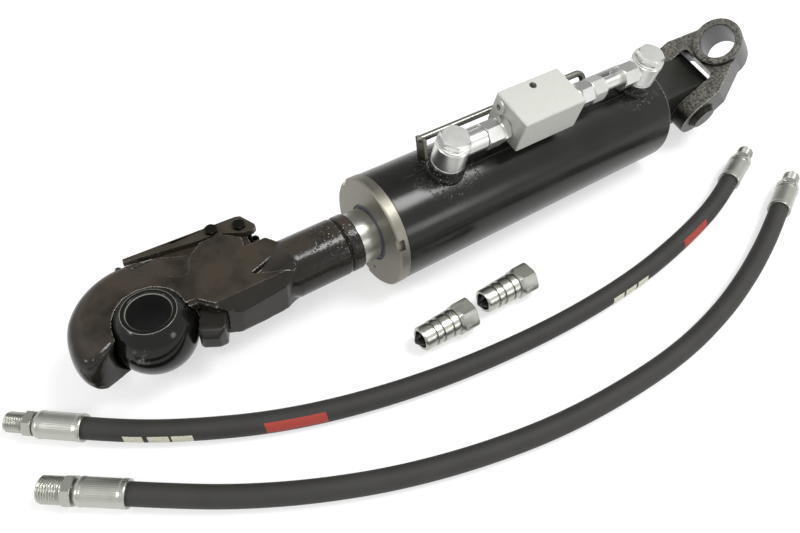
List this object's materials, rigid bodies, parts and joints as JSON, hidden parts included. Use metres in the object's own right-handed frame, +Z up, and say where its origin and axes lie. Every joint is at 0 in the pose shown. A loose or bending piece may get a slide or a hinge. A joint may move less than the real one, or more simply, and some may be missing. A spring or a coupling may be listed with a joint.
{
  "type": "hydraulic top link",
  "caption": "Hydraulic top link cylinder with catch hook and release lever, check valve block, swinging knuckle eye, and its loose hoses and quick couplers.",
  "frame": {"origin": "centre of the bore of the hook's ball", "axes": "+X runs along the cylinder from the hook to the knuckle, +Z is up from the floor it lies on"},
  "size_m": [0.7687, 0.2886, 0.144],
  "materials": {
    "black_paint": "black paint, half gloss",
    "ball_paint": "black paint, glossy",
    "cast_paint": "grey-black paint on a rough casting",
    "chrome": "hard chrome, polished",
    "bare_steel": "turned steel",
    "bronze": "satin",
    "seal": "satin",
    "dark_bolt": "black oxide",
    "aluminium": "satin, anodised",
    "zinc": "bright zinc plate",
    "poppet": "matt black",
    "hose_rubber": "matt black"
  },
  "bodies": {
    "barrel": {"barrel_tube": "black_paint", "rear_end": "black_paint", "front_port_boss": "black_paint", "rear_port_boss": "black_paint", "bar_bracket": "black_paint", "gland_nut": "bare_steel", "front_check_plug": "bare_steel", "rear_check_plug": "bare_steel", "lug_bush": "bronze", "rod_wiper": "seal", "rod_seal": "seal", "valve_block": "aluminium", "left_union_nut": "zinc", "left_adapter": "zinc", "right_adapter": "zinc", "right_union_nut": "zinc", "line_pipe": "zinc", "rear_union_nut": "zinc", "guard_bar": "zinc", "front_banjo_bolt": "zinc", "front_banjo_eye": "zinc", "rear_banjo_bolt": "zinc", "rear_banjo_eye": "zinc", "front_lower_washer": "zinc", "front_upper_washer": "zinc", "rear_lower_washer": "zinc", "rear_upper_washer": "zinc", "coupler_1_body": "zinc", "coupler_2_body": "zinc", "hose_1": "hose_rubber", "hose_2": "hose_rubber", "hose_1_left_ferrule": "zinc", "hose_1_left_nipple": "zinc", "hose_1_right_ferrule": "zinc", "hose_1_right_nipple": "zinc", "hose_2_left_ferrule": "zinc", "hose_2_left_nipple": "zinc", "hose_2_right_ferrule": "zinc", "hose_2_right_nipple": "zinc"},
    "piston": {"piston": "bare_steel", "piston_seal": "seal"},
    "rod": {"piston_rod": "chrome", "piston_nut": "bare_steel", "weld_collar": "black_paint", "hook_body": "black_paint", "lever_pivot_bolt": "dark_bolt", "lever_spring": "bare_steel"},
    "ball": {"hook_ball": "ball_paint"},
    "lever": {"release_lever": "black_paint", "lever_link_bolt": "dark_bolt"},
    "pawl": {"latch_pawl": "black_paint"},
    "knuckle": {"knuckle_fork": "cast_paint", "fork_pin": "black_paint", "pin_circlip": "bare_steel"},
    "poppet_1": {"coupler_1_poppet": "poppet"},
    "poppet_2": {"coupler_2_poppet": "poppet"}
  },
  "joints": [
    {"name": "rod_slide", "type": "slide", "parent": "barrel", "child": "piston", "axis": [-1, 0, 0], "range_m": [0, 0.23]},
    {"name": "rod_turn", "type": "hinge", "parent": "piston", "child": "rod", "pos_m": [0, 0, 0], "axis": [1, 0, 0], "continuous": true},
    {"name": "ball_turn", "type": "hinge", "parent": "rod", "child": "ball", "pos_m": [0, 0, 0], "axis": [0, -0.1045, 0.9945], "continuous": true},
    {"name": "lever_swing", "type": "hinge", "parent": "rod", "child": "lever", "pos_m": [0.0933, 0.04575, 0.00481], "axis": [0, 0.1045, -0.9945], "range_deg": [0, 50], "stiffness_Nm_per_rad": 0.5, "springref_deg": -22.92},
    {"name": "pawl_slide", "type": "slide", "parent": "rod", "child": "pawl", "axis": [0.4787, 0.8732, 0.0918], "range_m": [0, 0.018]},
    {"name": "knuckle_swing", "type": "hinge", "parent": "barrel", "child": "knuckle", "pos_m": [0.57, 0, 0], "axis": [0, 0.9613, 0.2756], "range_deg": [-22, 118]},
    {"name": "poppet_1_press", "type": "slide", "parent": "barrel", "child": "poppet_1", "axis": [1, 0, 0], "range_m": [0, 0.005], "stiffness_N_per_m": 800, "springref_m": -0.003},
    {"name": "poppet_2_press", "type": "slide", "parent": "barrel", "child": "poppet_2", "axis": [1, 0, 0], "range_m": [0, 0.005], "stiffness_N_per_m": 800, "springref_m": -0.003}
  ],
  "couplings": [
    {"joint": "pawl_slide", "follows": "lever_swing", "m_per_rad": 0.0205}
  ]
}
